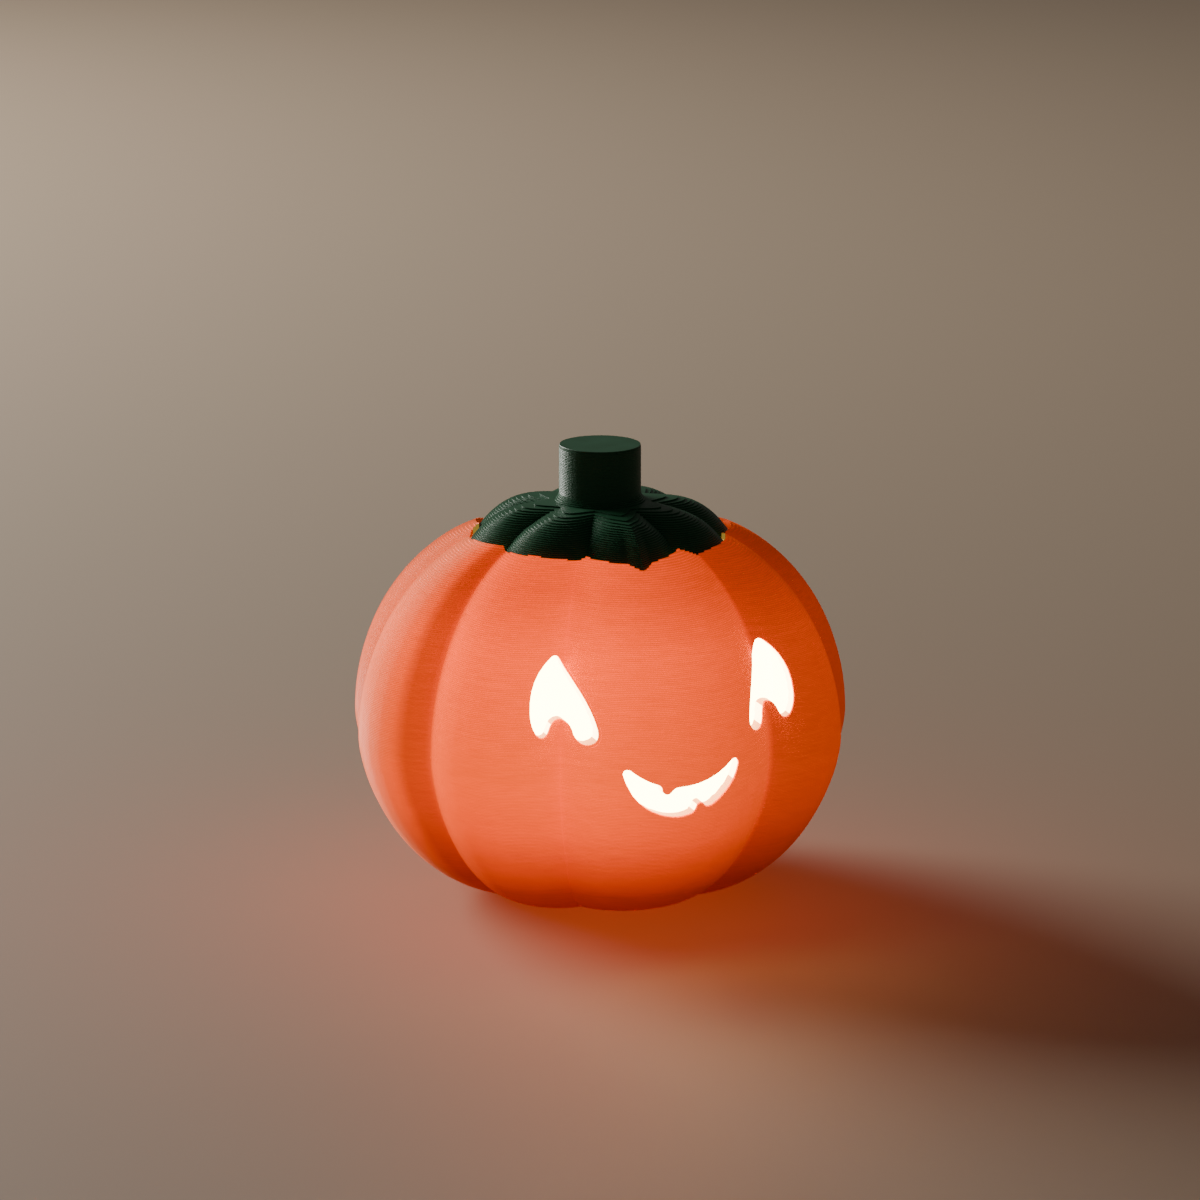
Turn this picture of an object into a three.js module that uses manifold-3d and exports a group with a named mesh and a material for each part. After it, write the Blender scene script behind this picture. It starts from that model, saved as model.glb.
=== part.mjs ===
// Carved pumpkin lantern, printed in plastic as two pieces: a hollow orange body and a green leaf lid.
// Millimetres, +Z up. The face looks along -Y, and the origin is the centre of the flat base.
import * as THREE from "three";
import { mergeVertices } from "three/addons/utils/BufferGeometryUtils.js";
import Module from "manifold-3d";

const wasm = await Module();
wasm.setup();
const DEGREE = Math.PI / 180;

// Body: outer skin and the hollow inside it, each from a base ring to a belly ring to a top ring
const BELLY_HEIGHT = 28.3;
const OUTSIDE = { bottom: 0, top: 62.5, base: 16.5, belly: 43.5, crown: 17.6 };
const INSIDE = { bottom: 2.4, top: 58.5, base: 15, belly: 41, crown: 17 };
const RINGS_OUTSIDE = { below: 8, above: 9 };
const RINGS_INSIDE = { below: 6, above: 6 };
const UNDERSIDE_BEND = 1.6;
const SHOULDER_BEND = 0.6;

// Lobes: one broad lobe carries the face, the rest are equal, and sharp grooves part them
const FRONT_LOBE = 57 * DEGREE;
const SIDE_LOBES = 8;
const SIDE_LOBE = (2 * Math.PI - FRONT_LOBE) / SIDE_LOBES;
const GROOVE = 0.875;
const FRONT_CREST = 1;
const SIDE_CREST = 0.985;
const FRONT_FACETS = 14;
const SIDE_FACETS = 9;

// Top opening: a round mouth with a leaf-shaped recess that the lid sits in
const MOUTH_RADIUS = 19.6;
const MOUTH_SIDES = 80;
const RECESS_FLOOR = 59.6;
const FIT_GAP = 0.35;

// Lid: equal leaves over the recess, a little turned from the face, and a straight stem
const LEAVES = 8;
const LEAF_FACETS = 10;
const LID_TURN = -2.5 * DEGREE;
const LID_BOTTOM = 59.9;
const LEAF_RADIUS = 22.2;
const LEAF_NOTCH = 0.09;
const NOTCH_BEND = 2.2;
const LEAF_EDGE = 60.2;
const LEAF_RISE = 6.2;
const DOME_BEND = 5.5;
const DOME_DROP = 1.1;
const LEAF_GROOVE = 0.24;
const GROOVE_START = 0.3;
const GROOVE_FULL = 0.75;
const FRONT_LEAF = 0.08;
const FRONT_TIP = 1.6;
const FRONT_TIP_ANGLE = 5 * DEGREE;
const EDGE_ROUND = 0.25;
const LEAF_STEPS = [0.985, 0.95, 0.9, 0.83, 0.74, 0.62, 0.48];
const STEM_RADIUS = 6.9;
const STEM_FLARE = 0.8;
const STEM_TOP = 75.9;
const STEM_ROUND = 0.35;

// Face: outlines in the plane of x and z, cut straight back through the front wall
const CUT_FRONT = -50;
const CUT_BACK = -14;
const CURVE_STEPS = 5;
const MERGE_DISTANCE = 1e-4;

// The radius of a skin at a height, before the lobes
function skinRadius(skin, z) {
  if (z < BELLY_HEIGHT) {
    const down = (BELLY_HEIGHT - z) / (BELLY_HEIGHT - skin.bottom);
    return skin.base + (skin.belly - skin.base) * Math.sqrt(1 - down ** UNDERSIDE_BEND);
  }
  const up = (z - BELLY_HEIGHT) / (skin.top - BELLY_HEIGHT);
  return skin.crown + (skin.belly - skin.crown) * (1 - up * up) ** SHOULDER_BEND;
}

// How far a point at this angle from the face is from the middle of its lobe, and that lobe's half width
function placeInLobe(angle) {
  const turned = Math.abs(Math.atan2(Math.sin(angle), Math.cos(angle)));
  if (turned < FRONT_LOBE / 2) return { offset: turned, half: FRONT_LOBE / 2, crest: FRONT_CREST };
  const beyond = turned - FRONT_LOBE / 2;
  const lobe = Math.min(Math.floor(beyond / SIDE_LOBE), SIDE_LOBES / 2 - 1);
  const offset = Math.abs(beyond - (lobe + 0.5) * SIDE_LOBE);
  return { offset, half: SIDE_LOBE / 2, crest: SIDE_CREST };
}

// The lobes seen from above: each is one arc from groove to groove through its crest
function lobeFactor(angle) {
  const { offset, half, crest } = placeInLobe(angle);
  const across = GROOVE * Math.sin(half);
  const rise = crest - GROOVE * Math.cos(half);
  const arc = (across * across + rise * rise) / (2 * rise);
  const centre = crest - arc;
  return centre * Math.cos(offset) + Math.sqrt(arc * arc - (centre * Math.sin(offset)) ** 2);
}

// The angles of the upright facets, counted from the face
function facetAngles() {
  const angles = [];
  for (let i = 0; i < FRONT_FACETS; i++) angles.push(FRONT_LOBE * (i / FRONT_FACETS - 0.5));
  for (let i = 0; i < SIDE_LOBES * SIDE_FACETS; i++) {
    angles.push(FRONT_LOBE / 2 + (SIDE_LOBE * i) / SIDE_FACETS);
  }
  return angles;
}
const FACETS = facetAngles();

// A closed lathe whose columns stand at given angles. pointAt gives each ring's radius and height.
function facetedLathe(angles, rings, pointAt) {
  const profile = Array.from({ length: rings }, (_, ring) => new THREE.Vector2(1, ring));
  const geometry = new THREE.LatheGeometry(profile, angles.length);
  for (let column = 0; column <= angles.length; column++) {
    const angle = angles[column % angles.length];
    for (let ring = 0; ring < rings; ring++) {
      const { radius, height } = pointAt(ring, angle);
      const x = radius * Math.sin(angle);
      const y = -radius * Math.cos(angle);
      geometry.attributes.position.setXYZ(column * rings + ring, x, y, height);
    }
  }
  return geometry;
}

// A geometry as a solid for cutting and joining
function solidOf(geometry) {
  const bare = geometry.clone();
  bare.deleteAttribute("normal");
  bare.deleteAttribute("uv");
  const merged = mergeVertices(bare, MERGE_DISTANCE);
  const corners = merged.index.array;
  const triangles = [];
  for (let i = 0; i < corners.length; i += 3) {
    const [a, b, c] = corners.subarray(i, i + 3);
    if (a !== b && b !== c && c !== a) triangles.push(a, b, c);
  }
  const vertProperties = merged.attributes.position.array;
  const triVerts = new Uint32Array(triangles);
  return new wasm.Manifold(new wasm.Mesh({ numProp: 3, vertProperties, triVerts }));
}

// A solid back as a named mesh
function meshOf(name, solid, material) {
  const { vertProperties, triVerts } = solid.getMesh();
  const geometry = new THREE.BufferGeometry();
  geometry.setAttribute("position", new THREE.BufferAttribute(vertProperties, 3));
  geometry.setIndex(new THREE.BufferAttribute(triVerts, 1));
  geometry.computeVertexNormals();
  const mesh = new THREE.Mesh(geometry, material);
  mesh.name = name;
  return mesh;
}

// The heights of a skin's rings, close together where the skin turns under and over
function ringHeights(skin, count) {
  const heights = [];
  const quarter = Math.PI / 2;
  for (let i = 0; i < count.below; i++) {
    const down = Math.cos((quarter * i) / count.below);
    heights.push(BELLY_HEIGHT - (BELLY_HEIGHT - skin.bottom) * down);
  }
  for (let i = 0; i <= count.above; i++) {
    const up = Math.sin((quarter * i) / count.above);
    heights.push(BELLY_HEIGHT + (skin.top - BELLY_HEIGHT) * up);
  }
  return heights;
}

function lobedSkin(skin, count) {
  const heights = ringHeights(skin, count);
  const last = heights.length + 1;
  return facetedLathe(FACETS, last + 1, (ring, angle) => {
    if (ring === 0) return { radius: 0, height: skin.bottom };
    if (ring === last) return { radius: 0, height: skin.top };
    const height = heights[ring - 1];
    return { radius: skinRadius(skin, height) * lobeFactor(angle), height };
  });
}

// The angles of the lid's facets, counted from the face
function leafAngles() {
  const facets = LEAVES * LEAF_FACETS;
  return Array.from({ length: facets }, (_, i) => LID_TURN + 2 * Math.PI * (i / facets - 0.5 / LEAVES));
}
const LEAF_ANGLES = leafAngles();

// How far an angle is from the middle of the front leaf, and its place in its own leaf,
// which is 0 in the middle and 1 at a notch
function placeInLeaf(angle) {
  const turned = Math.abs(Math.atan2(Math.sin(angle - LID_TURN), Math.cos(angle - LID_TURN)));
  const leaf = (2 * Math.PI) / LEAVES;
  const aside = Math.abs(turned - leaf * Math.round(turned / leaf)) / (leaf / 2);
  return { turned, aside, isFront: turned < leaf / 2 };
}

// The outline of the leaves seen from above, with notches between them and a longer front leaf with a tip
function leafRadius(angle) {
  const { turned, aside, isFront } = placeInLeaf(angle);
  const longer = isFront ? FRONT_LEAF * (1 - aside) : 0;
  const tip = FRONT_TIP * Math.max(0, 1 - turned / FRONT_TIP_ANGLE);
  return LEAF_RADIUS * (1 - LEAF_NOTCH * aside ** NOTCH_BEND) * (1 + longer) + tip;
}

// A point of the leaves' upper face, which is a flat dome with valleys that fade towards the stem
function leafPoint(angle, out) {
  const { aside } = placeInLeaf(angle);
  const fade = THREE.MathUtils.smoothstep(out, GROOVE_START, GROOVE_FULL);
  const radius = out * (LEAF_RADIUS + (leafRadius(angle) - LEAF_RADIUS) * fade);
  const dome = (1 - out ** DOME_BEND) ** DOME_DROP;
  return { radius, height: LEAF_EDGE + LEAF_RISE * dome * (1 - LEAF_GROOVE * aside * aside * fade) };
}

function leafLid() {
  const flareRadius = STEM_RADIUS + STEM_FLARE;
  const points = [
    () => ({ radius: 0, height: LID_BOTTOM }),
    (angle) => ({ radius: leafRadius(angle) - EDGE_ROUND, height: LID_BOTTOM }),
    (angle) => ({ radius: leafRadius(angle), height: LID_BOTTOM + EDGE_ROUND }),
    (angle) => ({ radius: leafRadius(angle), height: LEAF_EDGE }),
    ...LEAF_STEPS.map((out) => (angle) => leafPoint(angle, out)),
    (angle) => leafPoint(angle, flareRadius / LEAF_RADIUS),
    () => ({ radius: STEM_RADIUS, height: LEAF_EDGE + LEAF_RISE + STEM_FLARE }),
    () => ({ radius: STEM_RADIUS, height: STEM_TOP - STEM_ROUND }),
    () => ({ radius: STEM_RADIUS - STEM_ROUND, height: STEM_TOP }),
    () => ({ radius: 0, height: STEM_TOP }),
  ];
  return facetedLathe(LEAF_ANGLES, points.length, (ring, angle) => points[ring](angle));
}

// The leaf-shaped recess and the round mouth below it
function lidRecess() {
  const outline = new THREE.Shape(
    LEAF_ANGLES.map((angle) => {
      const radius = leafRadius(angle) + FIT_GAP;
      return new THREE.Vector2(radius * Math.sin(angle), -radius * Math.cos(angle));
    }),
  );
  const geometry = new THREE.ExtrudeGeometry(outline, { depth: OUTSIDE.top, bevelEnabled: false });
  return geometry.translate(0, 0, RECESS_FLOOR);
}

function topMouth() {
  const length = OUTSIDE.top;
  const geometry = new THREE.CylinderGeometry(MOUTH_RADIUS, MOUTH_RADIUS, length, MOUTH_SIDES);
  return geometry.rotateX(Math.PI / 2).translate(0, 0, BELLY_HEIGHT + length / 2);
}

// The right eye as seen on the lantern's +X side: a leaning drop with a notch that leaves two legs
function eyeShape() {
  const eye = new THREE.Shape();
  eye.moveTo(17.0, 47.5);
  eye.quadraticCurveTo(17.5, 48.1, 18.3, 47.6);
  eye.quadraticCurveTo(22.6, 44.6, 22.8, 39.2);
  eye.quadraticCurveTo(22.9, 37, 21.9, 35.6);
  eye.quadraticCurveTo(20.8, 34.5, 20, 36.2);
  eye.quadraticCurveTo(19.3, 38.1, 17.9, 38.05);
  eye.quadraticCurveTo(16.5, 38, 16.3, 35.9);
  eye.quadraticCurveTo(15.7, 34.2, 14.4, 34.5);
  eye.quadraticCurveTo(12.9, 35, 13.1, 37);
  eye.quadraticCurveTo(13.6, 40, 15.3, 43.6);
  eye.lineTo(17.0, 47.5);
  return eye;
}

// The grin: two arcs between round tips, one small tooth hanging and one standing
function grinShape() {
  const grin = new THREE.Shape();
  grin.moveTo(-9.9, 29.7);
  grin.quadraticCurveTo(-8.2, 24.6, -3.6, 23.1);
  grin.quadraticCurveTo(-0.8, 22.2, 1.5, 23.1);
  grin.quadraticCurveTo(2.0, 23.6, 2.2, 24.5);
  grin.quadraticCurveTo(3.0, 25.3, 3.6, 24.3);
  grin.quadraticCurveTo(4.2, 23.7, 5.2, 24.3);
  grin.quadraticCurveTo(8.8, 26.6, 9.9, 30.3);
  grin.quadraticCurveTo(9.8, 31.6, 8.8, 31.2);
  grin.quadraticCurveTo(4.6, 27.9, -1.1, 27.8);
  grin.quadraticCurveTo(-1.8, 27.8, -2.3, 27);
  grin.quadraticCurveTo(-3.1, 26.2, -3.8, 27.2);
  grin.quadraticCurveTo(-3.8, 28.2, -4.6, 28.4);
  grin.quadraticCurveTo(-6.8, 29.1, -8.8, 30.8);
  grin.quadraticCurveTo(-10, 31.2, -9.9, 29.7);
  return grin;
}

// A face outline as a straight cutter through the front wall
function faceCutter(shape) {
  const cutter = new THREE.ExtrudeGeometry(shape, {
    depth: CUT_BACK - CUT_FRONT,
    bevelEnabled: false,
    curveSegments: CURVE_STEPS,
  });
  return solidOf(cutter.rotateX(Math.PI / 2).translate(0, CUT_BACK, 0));
}

function body() {
  const eye = faceCutter(eyeShape());
  return solidOf(lobedSkin(OUTSIDE, RINGS_OUTSIDE))
    .subtract(solidOf(lobedSkin(INSIDE, RINGS_INSIDE)))
    .subtract(solidOf(lidRecess()))
    .subtract(solidOf(topMouth()))
    .subtract(eye)
    .subtract(eye.mirror([1, 0, 0]))
    .subtract(faceCutter(grinShape()));
}

const orangePlastic = new THREE.MeshStandardMaterial({ color: 0xe8641e, roughness: 0.55, metalness: 0 });
const greenPlastic = new THREE.MeshStandardMaterial({ color: 0x123524, roughness: 0.5, metalness: 0 });

const lantern = new THREE.Group();
lantern.add(meshOf("pumpkin_body", body(), orangePlastic));
lantern.add(meshOf("leaf_lid", solidOf(leafLid()), greenPlastic));
export default lantern;
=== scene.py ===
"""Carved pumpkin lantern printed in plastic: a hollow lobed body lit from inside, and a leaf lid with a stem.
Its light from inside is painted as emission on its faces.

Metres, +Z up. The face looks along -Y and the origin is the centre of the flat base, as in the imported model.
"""

import math

import bpy
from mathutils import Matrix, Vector


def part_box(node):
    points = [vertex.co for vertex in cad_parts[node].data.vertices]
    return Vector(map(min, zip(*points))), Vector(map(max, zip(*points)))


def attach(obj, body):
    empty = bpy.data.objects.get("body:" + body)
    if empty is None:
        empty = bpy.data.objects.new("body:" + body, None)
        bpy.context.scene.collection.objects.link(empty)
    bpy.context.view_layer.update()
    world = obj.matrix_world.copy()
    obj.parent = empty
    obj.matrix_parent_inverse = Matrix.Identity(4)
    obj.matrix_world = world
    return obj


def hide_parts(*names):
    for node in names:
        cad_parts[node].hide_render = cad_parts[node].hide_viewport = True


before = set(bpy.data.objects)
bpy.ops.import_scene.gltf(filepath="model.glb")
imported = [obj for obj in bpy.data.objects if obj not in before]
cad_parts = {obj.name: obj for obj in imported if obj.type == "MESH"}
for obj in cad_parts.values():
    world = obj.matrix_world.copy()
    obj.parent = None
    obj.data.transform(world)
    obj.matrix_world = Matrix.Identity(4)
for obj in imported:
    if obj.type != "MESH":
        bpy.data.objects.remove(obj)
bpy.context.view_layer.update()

# Sizes of the body
BELLY_HEIGHT = 0.0283
OUTSIDE = {"bottom": 0.0, "top": 0.0625, "base": 0.0165, "belly": 0.0435, "crown": 0.0176}
HOLLOW_LAYERS = 5
INSIDE = {"bottom": 0.0024, "top": 0.0585, "base": 0.015, "belly": 0.041, "crown": 0.017}
UNDERSIDE_BEND = 1.6
SHOULDER_BEND = 0.6

# Lobes: a broad one carries the face, the rest are equal, and sharp grooves part them
FRONT_LOBE = math.radians(57)
SIDE_LOBES = 8
SIDE_LOBE = (2 * math.pi - FRONT_LOBE) / SIDE_LOBES
GROOVE = 0.875
FRONT_CREST = 1.0
SIDE_CREST = 0.985
FRONT_FACETS = 14
SIDE_FACETS = 9

# Printed layers: each is a bead, and a fine notch parts it from the next
LAYER = 0.00028
BEAD_NOTCH = 0.00004
BEAD_EDGE = 0.22
RINGS_PER_LAYER = 3
SOFT_ANGLE = math.radians(26)

# Halvings and rounds that find a point of a curved skin
REACH_STEPS = 24
SKIN_STEPS = 12

# Top opening
MOUTH_RADIUS = 0.0196
MOUTH_SIDES = 96
RECESS_FLOOR = 0.0596
FIT_GAP = 0.00035
LEAK_START = 0.8

# Lid: equal leaves, a little turned from the face, and a straight stem
LEAVES = 8
LEAF_FACETS = 18
LID_TURN = math.radians(-2.5)
LID_BOTTOM = 0.0599
LEAF_RADIUS = 0.0222
LEAF_NOTCH = 0.09
NOTCH_BEND = 2.2
LEAF_EDGE = 0.0602
LEAF_RISE = 0.0062
DOME_BEND = 5.5
DOME_DROP = 1.1
LEAF_GROOVE = 0.24
GROOVE_START = 0.3
GROOVE_FULL = 0.75
FRONT_LEAF = 0.08
FRONT_TIP = 0.0016
FRONT_TIP_ANGLE = math.radians(5)
EDGE_ROUND = 0.00025
STEM_RADIUS = 0.0069
STEM_FACETS = 48
STEM_FLARE = 0.0008
STEM_FLARE_RISE = 0.0014
STEM_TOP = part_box("leaf_lid")[1].z
STEM_ROUND = 0.00035

# Face: each outline is a start point and quadratic curves of a control point and an end point, in x and z
CUT_FRONT = -0.052
CUT_BACK = -0.014
CURVE_STEPS = 6
EDGE_SOFT = 0.0004
EDGE_STEPS = 5
SILL_SLOPE = -0.55
EYE = [
    (0.0170, 0.0475),
    [(0.0175, 0.0481), (0.0183, 0.0476)],
    [(0.0226, 0.0446), (0.0228, 0.0392)],
    [(0.0229, 0.0370), (0.0219, 0.0356)],
    [(0.0208, 0.0345), (0.0200, 0.0362)],
    [(0.0193, 0.0381), (0.0179, 0.03805)],
    [(0.0165, 0.0380), (0.0163, 0.0359)],
    [(0.0157, 0.0342), (0.0144, 0.0345)],
    [(0.0129, 0.0350), (0.0131, 0.0370)],
    [(0.0136, 0.0400), (0.0153, 0.0436)],
    [(0.01615, 0.04555), (0.0170, 0.0475)],
]
GRIN = [
    (-0.0099, 0.0297),
    [(-0.0082, 0.0246), (-0.0036, 0.0231)],
    [(-0.0008, 0.0222), (0.0015, 0.0231)],
    [(0.0020, 0.0236), (0.0022, 0.0245)],
    [(0.0030, 0.0253), (0.0036, 0.0243)],
    [(0.0042, 0.0237), (0.0052, 0.0243)],
    [(0.0088, 0.0266), (0.0099, 0.0303)],
    [(0.0098, 0.0316), (0.0088, 0.0312)],
    [(0.0046, 0.0279), (-0.0011, 0.0278)],
    [(-0.0018, 0.0278), (-0.0023, 0.0270)],
    [(-0.0031, 0.0262), (-0.0038, 0.0272)],
    [(-0.0038, 0.0282), (-0.0046, 0.0284)],
    [(-0.0068, 0.0291), (-0.0088, 0.0308)],
    [(-0.0100, 0.0312), (-0.0099, 0.0297)],
]

# Orange print: its colours, a painted sheen that makes it pale at the back left where the softbox falls, and
# how rough it is at angles from the face in degrees
ORANGE_DARK = (0.72, 0.066, 0.005, 1)
ORANGE_LIGHT = (0.84, 0.086, 0.007, 1)
ORANGE_PAINTED_SHEEN = (0.82, 0.24, 0.12, 1)
ORANGE_GLOSS = 0.04
ORANGE_GRAIN = 0.25
PAINTED_SHEEN_AROUND = [
    (-180, 0.2),
    (-130, 0.25),
    (-106, 0.9),
    (-80, 1.0),
    (-72, 0.0),
    (75, 0.0),
    (110, 0.15),
    (180, 0.2),
]
ROUGH_AROUND = [(-180, 0.4), (-67, 0.42), (-65.5, 0.85), (28, 0.85), (30, 0.6), (120, 0.5), (180, 0.4)]

# Streaks along the layers
STREAKS = (260, 260, 3400)
STREAK_DETAIL = 3
STREAK_DEPTH = 0.00006
STREAK_MIDDLE = (0.3, 0.7)

# Painted glow through the wall: emission on the orange skin stands in for the lamp inside. Its level at angles
# from the face in degrees paints the front lobes bright and the grooves and far lobes darker. Its level at
# heights darkens it towards the base and the top.
PAINTED_GLOW = (1.0, 0.082, 0.0, 1)
PAINTED_GLOW_LEVEL = 1.72
PAINTED_GLOW_AROUND = [
    (-180, 0.1),
    (-125, 0.15),
    (-105, 0.4),
    (-86, 0.5),
    (-75, 0.7),
    (-72, 0.38),
    (-67, 0.37),
    (-65.5, 0.62),
    (-60, 0.8),
    (-48, 0.88),
    (-20, 1.0),
    (-8, 0.85),
    (15, 0.62),
    (28, 0.55),
    (29.2, 0.3),
    (52, 0.26),
    (70, 0.15),
    (105, 0.14),
    (180, 0.1),
]
PAINTED_GLOW_UP = [
    (0.0, 0.0),
    (0.0055, 0.07),
    (0.0125, 0.39),
    (0.0185, 0.72),
    (0.027, 0.95),
    (0.048, 1.0),
    (0.057, 0.67),
]
PAINTED_GLOW_STREAKS = (0.93, 1.07)

# Faces with painted lamplight: own colour, and an emission colour and level that stand in for the lamp inside.
# The sills get a dimmer, redder one as painted shade.
LIT_ROUGHNESS = 0.6
LIT_INSIDE = ((0.5, 0.35, 0.15, 1), (1.0, 0.82, 0.4, 1), 14)
LIT_WALL = ((0.3, 0.15, 0.05, 1), (1.0, 0.7, 0.33, 1), 13)
LIT_SILL = ((0.12, 0.03, 0.01, 1), (1.0, 0.28, 0.1, 1), 3.2)
LIT_LID_GAP = ((0.4, 0.2, 0.03, 1), (1.0, 0.66, 0.1, 1), 0.3)

# Green print of the lid
GREEN_DARK = (0.01, 0.058, 0.024, 1)
GREEN_LIGHT = (0.017, 0.084, 0.04, 1)
GREEN_GLOSS = 0.22
GREEN_GRAIN = 0.08
GREEN_ROUGHNESS = (0.38, 0.48)

# Floor
FLOOR_SIZE = 12
FLOOR_COLOUR = (0.225, 0.17, 0.118, 1)
FLOOR_ROUGHNESS = 0.7

# Softbox behind on the left
KEY_TURN = math.radians(-151)
KEY_RISE = math.radians(16)
KEY_REACH = 1.25
KEY_SIZE = 0.75
KEY_POWER = 37
KEY_AIM = (-0.05, 0.4, 0.0)
KEY_COLOUR = (1.0, 0.97, 0.93)
MIDDLE = Vector((0, 0, 0.035))

# Lamplight that falls on the floor round the lantern
SPILL_PLACE = (-0.004, -0.016, 0.055)
SPILL_SIZE = 0.02
SPILL_POWER = 0.2
SPILL_COLOUR = (1.0, 0.16, 0.05)

# Dim light from all round
SKY_COLOUR = (1.0, 0.93, 0.85, 1)
SKY_LEVEL = 0.11

# Camera
CAMERA_REACH = 0.8201
CAMERA_HEIGHT = 0.2529
CAMERA_TURN = math.radians(-18.74)
CAMERA_PITCH = math.radians(13.97)
CAMERA_LENS = 150
CAMERA_SENSOR = 36


def skin_radius(skin, height):
    """Radius of a skin at a height, before the lobes."""
    if height < BELLY_HEIGHT:
        down = (BELLY_HEIGHT - height) / (BELLY_HEIGHT - skin["bottom"])
        return skin["base"] + (skin["belly"] - skin["base"]) * math.sqrt(max(0, 1 - down**UNDERSIDE_BEND))
    up = (height - BELLY_HEIGHT) / (skin["top"] - BELLY_HEIGHT)
    return skin["crown"] + (skin["belly"] - skin["crown"]) * max(0, 1 - up * up) ** SHOULDER_BEND


def turned_from_face(angle):
    """How far an angle is turned from the face, to either side."""
    return abs(math.atan2(math.sin(angle), math.cos(angle)))


def place_in_lobe(angle):
    """How far an angle is from the middle of its lobe, that lobe's half width and its crest."""
    turned = turned_from_face(angle)
    if turned < FRONT_LOBE / 2:
        return turned, FRONT_LOBE / 2, FRONT_CREST
    beyond = turned - FRONT_LOBE / 2
    lobe = min(int(beyond / SIDE_LOBE), SIDE_LOBES // 2 - 1)
    return abs(beyond - (lobe + 0.5) * SIDE_LOBE), SIDE_LOBE / 2, SIDE_CREST


def lobe_factor(angle):
    """The lobes seen from above: each is one arc from groove to groove through its crest."""
    offset, half, crest = place_in_lobe(angle)
    across = GROOVE * math.sin(half)
    rise = crest - GROOVE * math.cos(half)
    arc = (across**2 + rise**2) / (2 * rise)
    centre = crest - arc
    return centre * math.cos(offset) + math.sqrt(arc**2 - (centre * math.sin(offset)) ** 2)


def facet_angles():
    """The angles of the upright facets, counted from the face."""
    front = [FRONT_LOBE * (i / FRONT_FACETS - 0.5) for i in range(FRONT_FACETS)]
    sides = [FRONT_LOBE / 2 + SIDE_LOBE * i / SIDE_FACETS for i in range(SIDE_LOBES * SIDE_FACETS)]
    return front + sides


FACETS = facet_angles()


def leaf_angles():
    """The angles of the lid's upright facets, counted from the face."""
    facets = LEAVES * LEAF_FACETS
    return [LID_TURN + 2 * math.pi * (i / facets - 0.5 / LEAVES) for i in range(facets)]


LEAF_ANGLES = leaf_angles()


def place_in_leaf(angle):
    """How far an angle is from the front leaf's middle, and its place in its leaf, from 0 to 1 at a notch."""
    turned = turned_from_face(angle - LID_TURN)
    leaf = 2 * math.pi / LEAVES
    aside = abs(turned - leaf * math.floor(turned / leaf + 0.5)) / (leaf / 2)
    return turned, aside


def leaf_radius(angle):
    """The leaves' outline seen from above: notches between them, and a longer front leaf with a tip."""
    turned, aside = place_in_leaf(angle)
    longer = FRONT_LEAF * (1 - aside) if turned < math.pi / LEAVES else 0
    tip = FRONT_TIP * max(0, 1 - turned / FRONT_TIP_ANGLE)
    return LEAF_RADIUS * (1 - LEAF_NOTCH * aside**NOTCH_BEND) * (1 + longer) + tip


def smooth_step(value, low, high):
    """Goes softly from 0 to 1 as a value goes from low to high."""
    share = min(1, max(0, (value - low) / (high - low)))
    return share * share * (3 - 2 * share)


def leaf_point(angle, out):
    """A point of the leaves' upper face, a flat dome with valleys that fade towards the stem."""
    _, aside = place_in_leaf(angle)
    fade = smooth_step(out, GROOVE_START, GROOVE_FULL)
    radius = out * (LEAF_RADIUS + (leaf_radius(angle) - LEAF_RADIUS) * fade)
    dome = max(0, 1 - out**DOME_BEND) ** DOME_DROP
    return radius, LEAF_EDGE + LEAF_RISE * dome * (1 - LEAF_GROOVE * aside * aside * fade)


def leaf_reach(angle, height):
    """How far out the leaves are at a height."""
    low, high = 0.0, 1.0
    for _ in range(REACH_STEPS):
        middle = (low + high) / 2
        if leaf_point(angle, middle)[1] > height:
            low = middle
        else:
            high = middle
    return leaf_point(angle, low)[0]


def stem_radius(angle, height):
    """The stem is a many-sided bar with a short flare at its foot and a soft top edge."""
    foot = min(1, max(0, 1 - (height - LEAF_EDGE - LEAF_RISE) / STEM_FLARE_RISE))
    rim = max(0, (height - STEM_TOP + STEM_ROUND) / STEM_ROUND)
    rounding = STEM_ROUND * (1 - math.sqrt(max(0, 1 - rim * rim)))
    side = math.pi / STEM_FACETS
    off_corner = (angle - LEAF_ANGLES[0] + side / 1000) % (2 * side)
    flat = math.cos(side) / math.cos(off_corner - side)
    return (STEM_RADIUS + STEM_FLARE * foot * foot - rounding) * flat


def lid_radius(angle, height):
    """How far out the lid is at an angle and a height."""
    if height < LEAF_EDGE:
        under = max(0, (LID_BOTTOM + EDGE_ROUND - height) / EDGE_ROUND)
        return leaf_radius(angle) - EDGE_ROUND * (1 - math.sqrt(max(0, 1 - under * under)))
    leaf = leaf_reach(angle, height) if height < LEAF_EDGE + LEAF_RISE else 0
    return max(leaf, stem_radius(angle, height))


def only(piece):
    """Makes a piece the one selected and active object."""
    bpy.ops.object.select_all(action="DESELECT")
    piece.select_set(True)
    bpy.context.view_layer.objects.active = piece


def column_of(point, columns):
    """Which upright column of an evenly turned cylinder a point is in, counted from the face."""
    return round(math.atan2(point.x, -point.y) / (2 * math.pi) * columns) % columns


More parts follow.
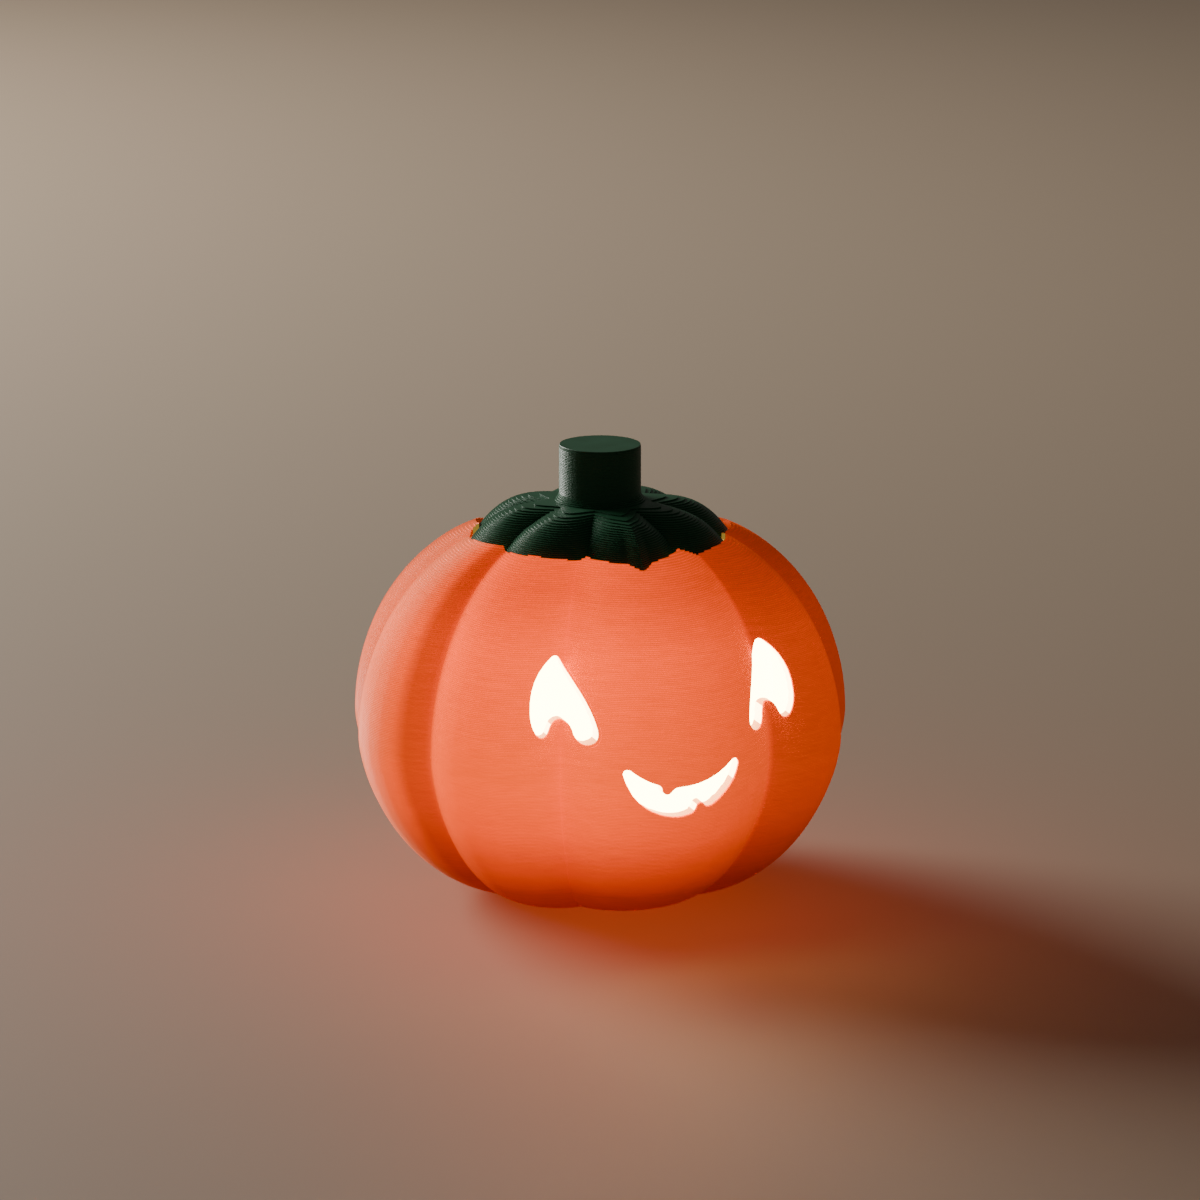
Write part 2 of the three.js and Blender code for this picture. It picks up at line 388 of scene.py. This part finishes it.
def printed_stack(name, angles, bottom, top, layer, notch, radius_at):
    """A stack of level beads from bottom to top. radius_at gives the radius at an angle and a height."""
    layers = round((top - bottom) / layer)
    rings = layers * RINGS_PER_LAYER
    bpy.ops.object.select_all(action="DESELECT")
    bpy.ops.mesh.primitive_cylinder_add(
        vertices=len(angles),
        radius=MOUTH_RADIUS,
        depth=top - bottom,
        end_fill_type="TRIFAN",
        location=(0, 0, (top + bottom) / 2),
    )
    piece = bpy.context.object
    piece.name = piece.data.name = name
    bpy.ops.object.transform_apply(location=True)
    bpy.ops.object.mode_set(mode="EDIT")
    bpy.ops.mesh.select_mode(type="EDGE")
    bpy.ops.mesh.select_all(action="DESELECT")
    bpy.ops.object.mode_set(mode="OBJECT")
    points = piece.data.vertices
    for edge in piece.data.edges:
        low, high = (points[i].co.z for i in edge.vertices)
        edge.select = abs(high - low) > (top - bottom) / 2
    bpy.ops.object.mode_set(mode="EDIT")
    bpy.ops.mesh.subdivide_edgering(number_cuts=rings - 1, interpolation="LINEAR")
    bpy.ops.object.mode_set(mode="OBJECT")
    step = (top - bottom) / layers
    places = {}
    for point in piece.data.vertices:
        ring = round((point.co.z - bottom) / (top - bottom) * rings)
        if math.hypot(point.co.x, point.co.y) < MOUTH_RADIUS / 2:
            continue
        column = column_of(point.co, len(angles))
        if (ring, column) not in places:
            places[ring, column] = bead_point(ring, angles[column], bottom, layers, step, notch, radius_at)
        point.co = places[ring, column]
    piece.data.shade_smooth()
    only(piece)
    bpy.ops.object.shade_smooth_by_angle(angle=SOFT_ANGLE)
    return piece


def bead_point(ring, angle, bottom, layers, step, notch, radius_at):
    """Where one corner of a bead goes: notches lie between layers, and a bead's face is upright."""
    layer, part = divmod(ring, RINGS_PER_LAYER)
    if part:
        radius = radius_at(angle, bottom + (layer + 0.5) * step)
        height = bottom + (layer + (BEAD_EDGE if part == 1 else 1 - BEAD_EDGE)) * step
    else:
        below = radius_at(angle, bottom + (max(layer, 1) - 0.5) * step)
        above = radius_at(angle, bottom + (min(layer, layers - 1) + 0.5) * step)
        radius = min(below, above) - notch
        height = bottom + layer * step
    return radius * math.sin(angle), -radius * math.cos(angle), height


def curve_points(outline):
    """The points of a closed outline of quadratic curves."""
    points = []
    start = outline[0]
    for control, end in outline[1:]:
        for i in range(CURVE_STEPS):
            t = i / CURVE_STEPS
            near, pull, far = (1 - t) ** 2, 2 * t * (1 - t), t * t
            points.append(tuple(near * a + pull * b + far * c for a, b, c in zip(start, control, end)))
        start = end
    return points


def spread(points, distance):
    """A closed outline moved outwards by a distance."""
    moved = []
    for i, (x, z) in enumerate(points):
        x0, z0 = points[i - 1]
        x1, z1 = points[(i + 1) % len(points)]
        length = math.hypot(x1 - x0, z1 - z0)
        moved.append((x + distance * (z1 - z0) / length, z - distance * (x1 - x0) / length))
    return moved


def skin_front(x, z):
    """Where the outside skin lies in front of a point of the face, as y."""
    y = -OUTSIDE["belly"]
    for _ in range(SKIN_STEPS):
        angle = math.atan2(x, -y)
        y = -math.sqrt(max(0, (skin_radius(OUTSIDE, z) * lobe_factor(angle)) ** 2 - x * x))
    return y


def signed_area(points):
    """The area of an outline, which is less than 0 where it runs clockwise."""
    return sum(a[0] * b[1] - b[0] * a[1] for a, b in zip(points, points[1:] + points[:1])) / 2


def face_cutter(name, outline, finishes):
    """A cutter for one opening of the face: straight through the wall, and softly flared at the outside skin.

    The finishes are those of the flare, of the wall's sides and of its sills.
    """
    points = curve_points(outline)
    if signed_area(points) < 0:
        points.reverse()
    rings = [[(x, CUT_FRONT, z) for x, z in spread(points, EDGE_SOFT)]]
    for i in range(EDGE_STEPS + 1):
        turn = math.pi / 2 * i / EDGE_STEPS
        deep = EDGE_SOFT * (1 - math.cos(turn))
        wide = EDGE_SOFT * (1 - math.sin(turn))
        moved = spread(points, wide)
        rings.append([(x, skin_front(*point) + deep, z) for point, (x, z) in zip(points, moved)])
    rings.append([(x, CUT_BACK, z) for x, z in points])
    bpy.ops.object.select_all(action="DESELECT")
    bpy.ops.mesh.primitive_circle_add(vertices=len(points), radius=EDGE_SOFT, fill_type="NGON")
    cutter = bpy.context.object
    cutter.name = cutter.data.name = name
    for ring in range(len(rings) - 1):
        bpy.ops.object.mode_set(mode="EDIT")
        bpy.ops.mesh.extrude_region_move(TRANSFORM_OT_translate={"value": (0, 0, EDGE_SOFT)})
        bpy.ops.object.mode_set(mode="OBJECT")
    for index, point in enumerate(cutter.data.vertices):
        ring, corner = divmod(index, len(points))
        point.co = rings[ring][corner]
    bpy.ops.object.mode_set(mode="EDIT")
    bpy.ops.mesh.select_all(action="SELECT")
    bpy.ops.mesh.normals_make_consistent(inside=False)
    bpy.ops.object.mode_set(mode="OBJECT")
    for finish in finishes:
        cutter.data.materials.append(finish)
    for face in cutter.data.polygons:
        if max(face.vertices) >= (EDGE_STEPS + 2) * len(points):
            face.material_index = 2 if face.normal.z < SILL_SLOPE else 1
    return cutter


def lid_recess_cutter(finish, painted_leak):
    """The leaf-shaped recess that the lid sits in. Its upright walls at the notches between the leaves get
    painted lamplight, as if light leaked out there.
    """
    cutter = upright_cutter(len(LEAF_ANGLES), LEAF_RADIUS, RECESS_FLOOR)
    for point in cutter.data.vertices:
        angle = LEAF_ANGLES[column_of(point.co, len(LEAF_ANGLES))]
        radius = leaf_radius(angle) + FIT_GAP
        point.co.x = radius * math.sin(angle)
        point.co.y = -radius * math.cos(angle)
    cutter.data.materials.append(finish)
    cutter.data.materials.append(painted_leak)
    for face in cutter.data.polygons:
        _, aside = place_in_leaf(math.atan2(face.center.x, -face.center.y))
        upright = abs(face.normal.z) < 0.5
        face.material_index = 1 if upright and aside > LEAK_START else 0
    return cutter


def upright_cutter(sides, radius, bottom):
    """A round upright cutter that reaches out over the top of the body."""
    bpy.ops.object.select_all(action="DESELECT")
    bpy.ops.mesh.primitive_cylinder_add(
        vertices=sides,
        radius=radius,
        depth=OUTSIDE["top"],
        location=(0, 0, bottom + OUTSIDE["top"] / 2),
    )
    cutter = bpy.context.object
    bpy.ops.object.transform_apply(location=True)
    return cutter


def cut(piece, cutter, finish=None):
    """Cuts a piece with another. The cut faces take the finish, or those that the cutter has."""
    if finish:
        cutter.data.materials.append(finish)
    only(piece)
    trim = piece.modifiers.new("trim", "BOOLEAN")
    trim.operation = "DIFFERENCE"
    trim.solver = "MANIFOLD"
    trim.material_mode = "TRANSFER"
    trim.object = cutter
    bpy.ops.object.modifier_apply(modifier=trim.name)
    bpy.data.objects.remove(cutter)


def new_material(name):
    material = bpy.data.materials.new(name)
    material.use_nodes = True
    return material, material.node_tree.nodes, material.node_tree.links


def new_ramp(nodes, stops):
    """A grey ramp through stops of a place from 0 to 1 and a level."""
    ramp = nodes.new("ShaderNodeValToRGB")
    elements = ramp.color_ramp.elements
    elements.remove(elements[1])
    for index, (place, level) in enumerate(stops):
        element = elements.new(place) if index else elements[0]
        element.position = place
        element.color = (level, level, level, 1)
    return ramp


def levels_around(levels):
    """Stops of a ramp that runs once round the body, from levels at angles in degrees."""
    return [(0.5 + math.radians(angle) / (2 * math.pi), level) for angle, level in levels]


def print_grain(nodes, links, place, shader, dark, light, strength):
    """Faint streaks along the layers, as a fine bump and in the colour. Gives back the streaks and colour."""
    along = nodes.new("ShaderNodeMapping")
    along.inputs["Scale"].default_value = STREAKS
    links.new(place.outputs["Object"], along.inputs["Vector"])
    streaks = nodes.new("ShaderNodeTexNoise")
    streaks.inputs["Scale"].default_value = 1.0
    streaks.inputs["Detail"].default_value = STREAK_DETAIL
    links.new(along.outputs["Vector"], streaks.inputs["Vector"])
    mix = nodes.new("ShaderNodeMix")
    mix.data_type = "RGBA"
    mix.inputs["A"].default_value = dark
    mix.inputs["B"].default_value = light
    links.new(streaks.outputs["Fac"], mix.inputs["Factor"])
    bump = nodes.new("ShaderNodeBump")
    bump.inputs["Strength"].default_value = strength
    bump.inputs["Distance"].default_value = STREAK_DEPTH
    links.new(streaks.outputs["Fac"], bump.inputs["Height"])
    links.new(bump.outputs["Normal"], shader.inputs["Normal"])
    return streaks, mix.outputs["Result"]


def streaks_between(nodes, links, streaks, low, high):
    """A value that the streaks carry from low to high."""
    between = nodes.new("ShaderNodeMapRange")
    between.inputs["From Min"].default_value = STREAK_MIDDLE[0]
    between.inputs["From Max"].default_value = STREAK_MIDDLE[1]
    between.inputs["To Min"].default_value = low
    between.inputs["To Max"].default_value = high
    links.new(streaks.outputs["Fac"], between.inputs["Value"])
    return between.outputs["Result"]


def orange_print():
    """Orange plastic with a painted glow, emission that stands in for the lamp inside and is brightest in the
    front lobes.
    """
    material, nodes, links = new_material("orange print")
    shader = nodes["Principled BSDF"]
    shader.inputs["Specular IOR Level"].default_value = ORANGE_GLOSS
    shader.inputs["Emission Color"].default_value = PAINTED_GLOW
    place = nodes.new("ShaderNodeTexCoord")
    streaks, colour = print_grain(nodes, links, place, shader, ORANGE_DARK, ORANGE_LIGHT, ORANGE_GRAIN)
    split = nodes.new("ShaderNodeSeparateXYZ")
    links.new(place.outputs["Object"], split.inputs["Vector"])
    back = nodes.new("ShaderNodeMath")
    back.operation = "MULTIPLY"
    back.inputs[1].default_value = -1
    links.new(split.outputs["Y"], back.inputs[0])
    turn = nodes.new("ShaderNodeMath")
    turn.operation = "ARCTAN2"
    links.new(split.outputs["X"], turn.inputs[0])
    links.new(back.outputs[0], turn.inputs[1])
    around = nodes.new("ShaderNodeMapRange")
    around.inputs["From Min"].default_value = -math.pi
    around.inputs["From Max"].default_value = math.pi
    links.new(turn.outputs[0], around.inputs["Value"])
    # Painted glow: emission by angle and height paints the lamplight and the lobes' light and shade
    lobes = new_ramp(nodes, levels_around(PAINTED_GLOW_AROUND))
    links.new(around.outputs["Result"], lobes.inputs["Fac"])
    height = nodes.new("ShaderNodeMapRange")
    height.inputs["From Max"].default_value = OUTSIDE["top"]
    links.new(split.outputs["Z"], height.inputs["Value"])
    up = new_ramp(nodes, [(z / OUTSIDE["top"], level) for z, level in PAINTED_GLOW_UP])
    links.new(height.outputs["Result"], up.inputs["Fac"])
    both = nodes.new("ShaderNodeMath")
    both.operation = "MULTIPLY"
    links.new(lobes.outputs["Color"], both.inputs[0])
    links.new(up.outputs["Color"], both.inputs[1])
    level = nodes.new("ShaderNodeMath")
    level.operation = "MULTIPLY"
    links.new(both.outputs[0], level.inputs[0])
    low, high = (share * PAINTED_GLOW_LEVEL for share in PAINTED_GLOW_STREAKS)
    links.new(streaks_between(nodes, links, streaks, low, high), level.inputs[1])
    links.new(level.outputs[0], shader.inputs["Emission Strength"])
    # Painted sheen: the base colour turns pale where the softbox behind on the left falls on the lobes
    pale = new_ramp(nodes, levels_around(PAINTED_SHEEN_AROUND))
    links.new(around.outputs["Result"], pale.inputs["Fac"])
    with_painted_sheen = nodes.new("ShaderNodeMix")
    with_painted_sheen.data_type = "RGBA"
    with_painted_sheen.inputs["B"].default_value = ORANGE_PAINTED_SHEEN
    links.new(pale.outputs["Color"], with_painted_sheen.inputs["Factor"])
    links.new(colour, with_painted_sheen.inputs["A"])
    links.new(with_painted_sheen.outputs["Result"], shader.inputs["Base Color"])
    rough = new_ramp(nodes, levels_around(ROUGH_AROUND))
    links.new(around.outputs["Result"], rough.inputs["Fac"])
    links.new(rough.outputs["Color"], shader.inputs["Roughness"])
    return material


def painted_lamplight(name, base, colour, strength):
    """A finish for a face with painted lamplight: emission stands in for the lamp inside."""
    material, nodes, _ = new_material(name)
    shader = nodes["Principled BSDF"]
    shader.inputs["Base Color"].default_value = base
    shader.inputs["Roughness"].default_value = LIT_ROUGHNESS
    shader.inputs["Emission Color"].default_value = colour
    shader.inputs["Emission Strength"].default_value = strength
    return material


def green_print():
    """Satin green plastic."""
    material, nodes, links = new_material("green print")
    shader = nodes["Principled BSDF"]
    shader.inputs["Specular IOR Level"].default_value = GREEN_GLOSS
    place = nodes.new("ShaderNodeTexCoord")
    streaks, colour = print_grain(nodes, links, place, shader, GREEN_DARK, GREEN_LIGHT, GREEN_GRAIN)
    links.new(colour, shader.inputs["Base Color"])
    links.new(streaks_between(nodes, links, streaks, *GREEN_ROUGHNESS), shader.inputs["Roughness"])
    return material


def pumpkin_body():
    """The lobed body: its outside skin, less the hollow, the lid's recess, the mouth and the face."""
    orange = orange_print()
    # Finishes of painted lamplight for the inside, the cut walls, the sills and the lid's gap
    lit_inside = painted_lamplight("lamp-lit inside", *LIT_INSIDE)
    lit_wall = painted_lamplight("lamp-lit wall", *LIT_WALL)
    lit_sill = painted_lamplight("lamp-lit sill", *LIT_SILL)
    painted_leak = painted_lamplight("lamplight at the lid", *LIT_LID_GAP)
    face_finishes = (orange, lit_wall, lit_sill)
    body = printed_stack(
        "printed_body",
        FACETS,
        OUTSIDE["bottom"],
        OUTSIDE["top"],
        LAYER,
        BEAD_NOTCH,
        lambda angle, height: skin_radius(OUTSIDE, height) * lobe_factor(angle),
    )
    body.data.materials.append(orange)
    hollow = printed_stack(
        "hollow",
        FACETS,
        INSIDE["bottom"],
        INSIDE["top"],
        HOLLOW_LAYERS * LAYER,
        0,
        lambda angle, height: skin_radius(INSIDE, height) * lobe_factor(angle),
    )
    cut(body, hollow, lit_inside)
    cut(body, lid_recess_cutter(orange, painted_leak))
    cut(body, upright_cutter(MOUTH_SIDES, MOUTH_RADIUS, BELLY_HEIGHT), lit_wall)
    cut(body, face_cutter("eye cutter", EYE, face_finishes))
    mirrored = [(-EYE[0][0], EYE[0][1])] + [[(-x, z) for x, z in curve] for curve in EYE[1:]]
    cut(body, face_cutter("other eye cutter", mirrored, face_finishes))
    cut(body, face_cutter("grin cutter", GRIN, face_finishes))
    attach(body, "root")
    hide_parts("pumpkin_body")
    return body


def leaf_lid():
    """The lid of eight leaves with its stem, one print."""
    lid = printed_stack("printed_lid", LEAF_ANGLES, LID_BOTTOM, STEM_TOP, LAYER, BEAD_NOTCH, lid_radius)
    lid.data.materials.append(green_print())
    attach(lid, "root")
    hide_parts("leaf_lid")
    return lid


def floor():
    """The plain surface that the lantern stands on."""
    bpy.ops.object.select_all(action="DESELECT")
    bpy.ops.mesh.primitive_plane_add(size=FLOOR_SIZE)
    ground = bpy.context.object
    ground.name = "floor"
    material, nodes, _ = new_material("pale floor")
    nodes["Principled BSDF"].inputs["Base Color"].default_value = FLOOR_COLOUR
    nodes["Principled BSDF"].inputs["Roughness"].default_value = FLOOR_ROUGHNESS
    ground.data.materials.append(material)
    return ground


def softbox():
    """A round soft light low behind on the left, aimed at the floor behind the lantern."""
    light = bpy.data.lights.new("softbox", "AREA")
    light.shape = "DISK"
    light.size = KEY_SIZE
    light.energy = KEY_POWER
    light.color = KEY_COLOUR
    lamp = bpy.data.objects.new("softbox", light)
    bpy.context.scene.collection.objects.link(lamp)
    way = Vector((math.sin(KEY_TURN), -math.cos(KEY_TURN), math.tan(KEY_RISE))).normalized()
    lamp.location = MIDDLE + KEY_REACH * way
    lamp.rotation_euler = (Vector(KEY_AIM) - lamp.location).to_track_quat("-Z", "Y").to_euler()


def floor_spill(ground):
    """The orange lamplight that comes through the wall onto the floor, and onto nothing else."""
    light = bpy.data.lights.new("lamplight on the floor", "POINT")
    light.shadow_soft_size = SPILL_SIZE
    light.energy = SPILL_POWER
    light.color = SPILL_COLOUR
    lamp = bpy.data.objects.new("lamplight on the floor", light)
    bpy.context.scene.collection.objects.link(lamp)
    lamp.location = SPILL_PLACE
    only_floor = bpy.data.collections.new("floor alone")
    only_floor.objects.link(ground)
    lamp.light_linking.receiver_collection = only_floor
    lamp.light_linking.blocker_collection = only_floor


def studio():
    """Dim even light from all round."""
    world = bpy.data.worlds.new("studio")
    bpy.context.scene.world = world
    world.use_nodes = True
    sky = world.node_tree.nodes["Background"]
    sky.inputs["Color"].default_value = SKY_COLOUR
    sky.inputs["Strength"].default_value = SKY_LEVEL


def camera():
    view = bpy.data.cameras.new("camera")
    view.lens = CAMERA_LENS
    view.sensor_width = CAMERA_SENSOR
    eye = bpy.data.objects.new("camera", view)
    eye.location = (
        CAMERA_REACH * math.sin(CAMERA_TURN),
        -CAMERA_REACH * math.cos(CAMERA_TURN),
        CAMERA_HEIGHT,
    )
    eye.rotation_euler = (math.pi / 2 - CAMERA_PITCH, 0, CAMERA_TURN)
    bpy.context.scene.collection.objects.link(eye)
    bpy.context.scene.camera = eye


camera()
pumpkin_body()
leaf_lid()
floor_spill(floor())
softbox()
studio()
